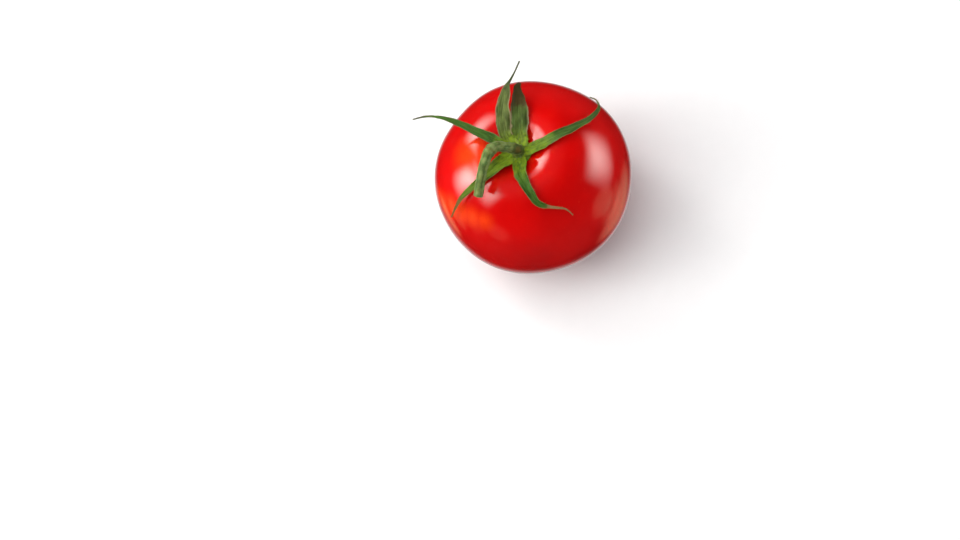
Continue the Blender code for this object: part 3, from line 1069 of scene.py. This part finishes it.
def make_camera():
    """It looks down on the calyx, rolled, with the fruit right of and above the picture's middle."""
    data = bpy.data.cameras.new("camera")
    data.lens = CAMERA_LENS
    data.clip_start = 0.01
    camera = bpy.data.objects.new("camera", data)
    bpy.context.scene.collection.objects.link(camera)
    back = Vector((0, -math.cos(CAMERA_ELEVATION), math.sin(CAMERA_ELEVATION)))
    level_right = Vector((1, 0, 0))
    level_up = back.cross(level_right)
    right = math.cos(CAMERA_ROLL) * level_right - math.sin(CAMERA_ROLL) * level_up
    up = math.sin(CAMERA_ROLL) * level_right + math.cos(CAMERA_ROLL) * level_up
    middle = Vector((0, 0, (EQUATOR_HEIGHT - SEAT_GAP) * MM))
    eye = middle + back * CAMERA_DISTANCE - right * AIM_RIGHT - up * AIM_UP
    turn = Matrix((right, up, back)).transposed().to_4x4()
    camera.matrix_world = Matrix.Translation(eye) @ turn
    bpy.context.scene.camera = camera


def stage(name, points, faces, look):
    """Part of the setting. It lights the fruit and stands behind it, but the skin doesn't mirror it."""
    mesh = bpy.data.meshes.new(name)
    mesh.from_pydata(points, [], faces)
    mesh.materials.append(look.material)
    made = bpy.data.objects.new(name, mesh)
    bpy.context.scene.collection.objects.link(made)
    made.visible_glossy = False


def make_floor():
    look = Look("floor_pale", Roughness=0.7, Specular_IOR_Level=0.2)
    grain = look.noise(6, detail=2)
    look.set("Base Color", look.mix(grain, (0.68, 0.70, 0.73), (0.70, 0.72, 0.75)))
    look.shader.inputs["Emission Color"].default_value = (1, 1, 1, 1)
    look.shader.inputs["Emission Strength"].default_value = FLOOR_RADIANCE
    look.material.cycles.emission_sampling = "NONE"
    reach = BACKDROP_RADIUS
    corners = [(-reach, -reach, 0), (reach, -reach, 0), (reach, reach, 0), (-reach, reach, 0)]
    stage("floor", corners, [(0, 1, 2, 3)], look)


def make_backdrop():
    """A pale tent over the whole setting, far off: an upright wall that closes in a low dome."""
    look = Look("backdrop_pale", Roughness=1.0)
    look.set("Base Color", look.mix(look.noise(900), (0.30, 0.30, 0.30), (0.32, 0.32, 0.32)))
    look.shader.inputs["Emission Color"].default_value = (1, 1, 1, 1)
    look.material.cycles.emission_sampling = "NONE"
    height = look.node("ShaderNodeSeparateXYZ", (look.place,)).outputs["Z"]
    look.set("Emission Strength", look.spread(height, 0.2, 1.5, WALL_RADIANCE, DOME_RADIANCE))
    rings = []
    for ring in range(BACKDROP_RINGS + 1):
        turn = math.pi / 2 * ring / BACKDROP_RINGS
        radius, height = BACKDROP_RADIUS * math.cos(turn), BACKDROP_HEIGHT * math.sin(turn)
        rings.append([(radius * x, radius * y, height) for x, y in unit_circle(BACKDROP_SIDES)])
    points = [point for ring in rings for point in ring]
    faces = []
    for ring in range(BACKDROP_RINGS):
        for side in range(BACKDROP_SIDES):
            low, following = ring * BACKDROP_SIDES, (side + 1) % BACKDROP_SIDES
            high = low + BACKDROP_SIDES
            faces.append((low + following, low + side, high + side, high + following))
    stage("backdrop", points, faces, look)


def make_softbox(name, azimuth, elevation, half_width, half_height, radiance, brightest):
    """A light that faces the fruit, placed and sized as angles from it, and fading to its edges."""
    data = bpy.data.lights.new(name, "AREA")
    data.shape = "RECTANGLE"
    data.size = 2 * LIGHT_DISTANCE * math.tan(math.radians(half_width))
    data.size_y = 2 * LIGHT_DISTANCE * math.tan(math.radians(half_height))
    data.energy = radiance * math.pi * data.size * data.size_y
    data.color = LIGHT_COLOUR
    data.use_nodes = True
    nodes, links = data.node_tree.nodes, data.node_tree.links
    place = nodes.new("ShaderNodeSeparateXYZ")
    links.new(nodes.new("ShaderNodeNewGeometry").outputs["Parametric"], place.inputs[0])
    fades = []
    for axis, middle in ((0, 0.5), (1, brightest)):
        for end in (0, 1):
            fade = nodes.new("ShaderNodeMapRange")
            fade.interpolation_type = "SMOOTHSTEP"
            links.new(place.outputs[axis], fade.inputs["Value"])
            fade.inputs["From Min"].default_value = end
            fade.inputs["From Max"].default_value = middle
            fades.append(fade.outputs["Result"])
    strength = fades[0]
    for fade in fades[1:]:
        product = nodes.new("ShaderNodeMath")
        product.operation = "MULTIPLY"
        links.new(strength, product.inputs[0])
        links.new(fade, product.inputs[1])
        strength = product.outputs[0]
    links.new(strength, nodes["Emission"].inputs["Strength"])
    light = bpy.data.objects.new(name, data)
    bpy.context.scene.collection.objects.link(light)
    direction = toward(azimuth, elevation)
    light.location = Vector((0, 0, EQUATOR_HEIGHT * MM)) + direction * LIGHT_DISTANCE
    light.rotation_euler = direction.to_track_quat("Z", "Y").to_euler()
    light.visible_camera = False
    return light


def make_world():
    """Dim all round, with the soft patches of light that the skin mirrors."""
    world = bpy.data.worlds.new("studio")
    bpy.context.scene.world = world
    world.use_nodes = True
    nodes, links = world.node_tree.nodes, world.node_tree.links
    direction = nodes.new("ShaderNodeTexCoord").outputs["Generated"]
    total = None
    for azimuth, elevation, half_angle, radiance, green, blue in PALE_PATCHES:
        facing = nodes.new("ShaderNodeVectorMath")
        facing.operation = "DOT_PRODUCT"
        links.new(direction, facing.inputs[0])
        facing.inputs[1].default_value = toward(azimuth, elevation)
        patch = nodes.new("ShaderNodeMapRange")
        patch.interpolation_type = "SMOOTHSTEP"
        links.new(facing.outputs["Value"], patch.inputs["Value"])
        patch.inputs["From Min"].default_value = math.cos(math.radians(half_angle))
        patch.inputs["From Max"].default_value = math.cos(math.radians(half_angle * 0.3))
        tint = nodes.new("ShaderNodeVectorMath")
        tint.operation = "MULTIPLY_ADD"
        links.new(patch.outputs["Result"], tint.inputs[0])
        tint.inputs[1].default_value = (radiance, radiance * green, radiance * blue)
        if total is None:
            tint.inputs[2].default_value = (WORLD_RADIANCE, WORLD_RADIANCE, WORLD_RADIANCE)
        else:
            links.new(total, tint.inputs[2])
        total = tint.outputs[0]
    links.new(total, nodes["Background"].inputs["Color"])


make_camera()
make_floor()
make_backdrop()
make_world()
for softbox, placing in SOFTBOXES.items():
    make_softbox(softbox, *placing)
for fill, placing in FILL_LIGHTS.items():
    make_softbox(fill, *placing).visible_glossy = False
bpy.context.scene.view_settings.view_transform = "Standard"

stand_for(make_fruit_look(), "fruit")
stand_for(make_disc_look(), "calyx_disc")
for seed, sepal_name in enumerate(SEPALS):
    stand_for(make_sepal_look(sepal_name, seed), sepal_name)
stand_for(make_stem_look(), "stem")
